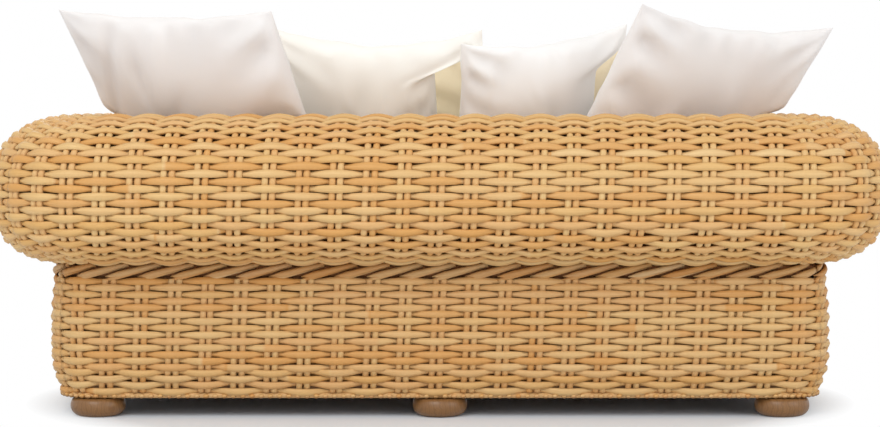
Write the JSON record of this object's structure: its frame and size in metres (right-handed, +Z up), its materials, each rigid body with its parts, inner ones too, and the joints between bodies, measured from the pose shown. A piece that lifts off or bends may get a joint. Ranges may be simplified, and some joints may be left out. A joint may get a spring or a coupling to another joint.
{
  "type": "garden sofa",
  "caption": "Woven rattan garden sofa with a fat rolled back and arms, a plaited neck band, turned bun feet, box seat cushions and loose throw pillows.",
  "frame": {"origin": "on the ground under the middle of the sofa's width and depth", "axes": "+X to the sitter's left, -Y to the front, +Z up"},
  "size_m": [2.18, 1.01, 0.9879],
  "materials": {
    "weave": "natural rattan cane, lightly lacquered",
    "plait": "natural rattan cane, lightly lacquered",
    "turned_wood": "stained and varnished hardwood",
    "frame_tube": "cane-coloured powder coat",
    "steel": "zinc plated",
    "seat_fabric": "woven outdoor canvas, off-white",
    "white_fabric": "plain woven cotton, white",
    "cream_fabric": "plain woven cotton, pale sand yellow"
  },
  "bodies": {
    "frame": {"foot_rear_left": "turned_wood", "foot_bolt_rear_left": "steel", "foot_rear_mid": "turned_wood", "foot_bolt_rear_mid": "steel", "foot_rear_right": "turned_wood", "foot_bolt_rear_right": "steel", "foot_front_left": "turned_wood", "foot_bolt_front_left": "steel", "foot_front_mid": "turned_wood", "foot_bolt_front_mid": "steel", "foot_front_right": "turned_wood", "foot_bolt_front_right": "steel", "foot_rail_back": "frame_tube", "seat_rail_back": "frame_tube", "base_weave_back": "weave", "foot_rail_front": "frame_tube", "seat_rail_front": "frame_tube", "base_weave_front": "weave", "foot_rail_left": "frame_tube", "seat_rail_left": "frame_tube", "base_weave_left": "weave", "foot_rail_right": "frame_tube", "seat_rail_right": "frame_tube", "base_weave_right": "weave", "foot_cross_rail": "frame_tube", "post_rear_left": "frame_tube", "post_rear_right": "frame_tube", "post_front_left": "frame_tube", "post_front_right": "frame_tube", "post_rear_mid": "frame_tube", "post_front_mid": "frame_tube", "deck_rail_left": "frame_tube", "deck_rail_right": "frame_tube", "deck_rail_back": "frame_tube", "deck_bearer_left": "frame_tube", "deck_bearer_right": "frame_tube", "back_hoop_left": "frame_tube", "back_hoop_mid": "frame_tube", "back_hoop_right": "frame_tube", "arm_hoop_left_front": "frame_tube", "arm_hoop_left_rear": "frame_tube", "arm_hoop_right_front": "frame_tube", "arm_hoop_right_rear": "frame_tube", "crown_stringer_left": "frame_tube", "crown_stringer_right": "frame_tube", "crown_stringer_back": "frame_tube", "seat_deck": "weave", "roll_weave_back": "weave", "neck_plait_back": "plait", "roll_weave_left": "weave", "neck_plait_left": "plait", "roll_weave_right": "weave", "neck_plait_right": "plait"},
    "corner_pillow_left": {"corner_pillow_left": "white_fabric"},
    "middle_pillow_left": {"middle_pillow_left": "white_fabric"},
    "middle_pillow_right": {"middle_pillow_right": "white_fabric"},
    "corner_pillow_right": {"corner_pillow_right": "white_fabric"},
    "accent_pillow": {"accent_pillow": "cream_fabric"},
    "seat_cushion_left": {"seat_cushion_left": "seat_fabric"},
    "seat_cushion_right": {"seat_cushion_right": "seat_fabric"}
  },
  "joints": [
    {"name": "corner_pillow_left_lift", "type": "slide", "parent": "frame", "child": "corner_pillow_left", "axis": [0, 0.5446, 0.8387], "range_m": [0, 0.35]},
    {"name": "middle_pillow_left_lift", "type": "slide", "parent": "frame", "child": "middle_pillow_left", "axis": [0, 0.5, 0.866], "range_m": [0, 0.35]},
    {"name": "middle_pillow_right_lift", "type": "slide", "parent": "frame", "child": "middle_pillow_right", "axis": [0, 0.6157, 0.788], "range_m": [0, 0.35]},
    {"name": "corner_pillow_right_lift", "type": "slide", "parent": "frame", "child": "corner_pillow_right", "axis": [0, 0.6157, 0.788], "range_m": [0, 0.35]},
    {"name": "accent_pillow_lift", "type": "slide", "parent": "frame", "child": "accent_pillow", "axis": [0, 0.4695, 0.8829], "range_m": [0, 0.35]},
    {"name": "seat_cushion_left_slide", "type": "slide", "parent": "frame", "child": "seat_cushion_left", "axis": [0, -1, 0], "range_m": [0, 0.62]},
    {"name": "seat_cushion_right_slide", "type": "slide", "parent": "frame", "child": "seat_cushion_right", "axis": [0, -1, 0], "range_m": [0, 0.62]}
  ]
}
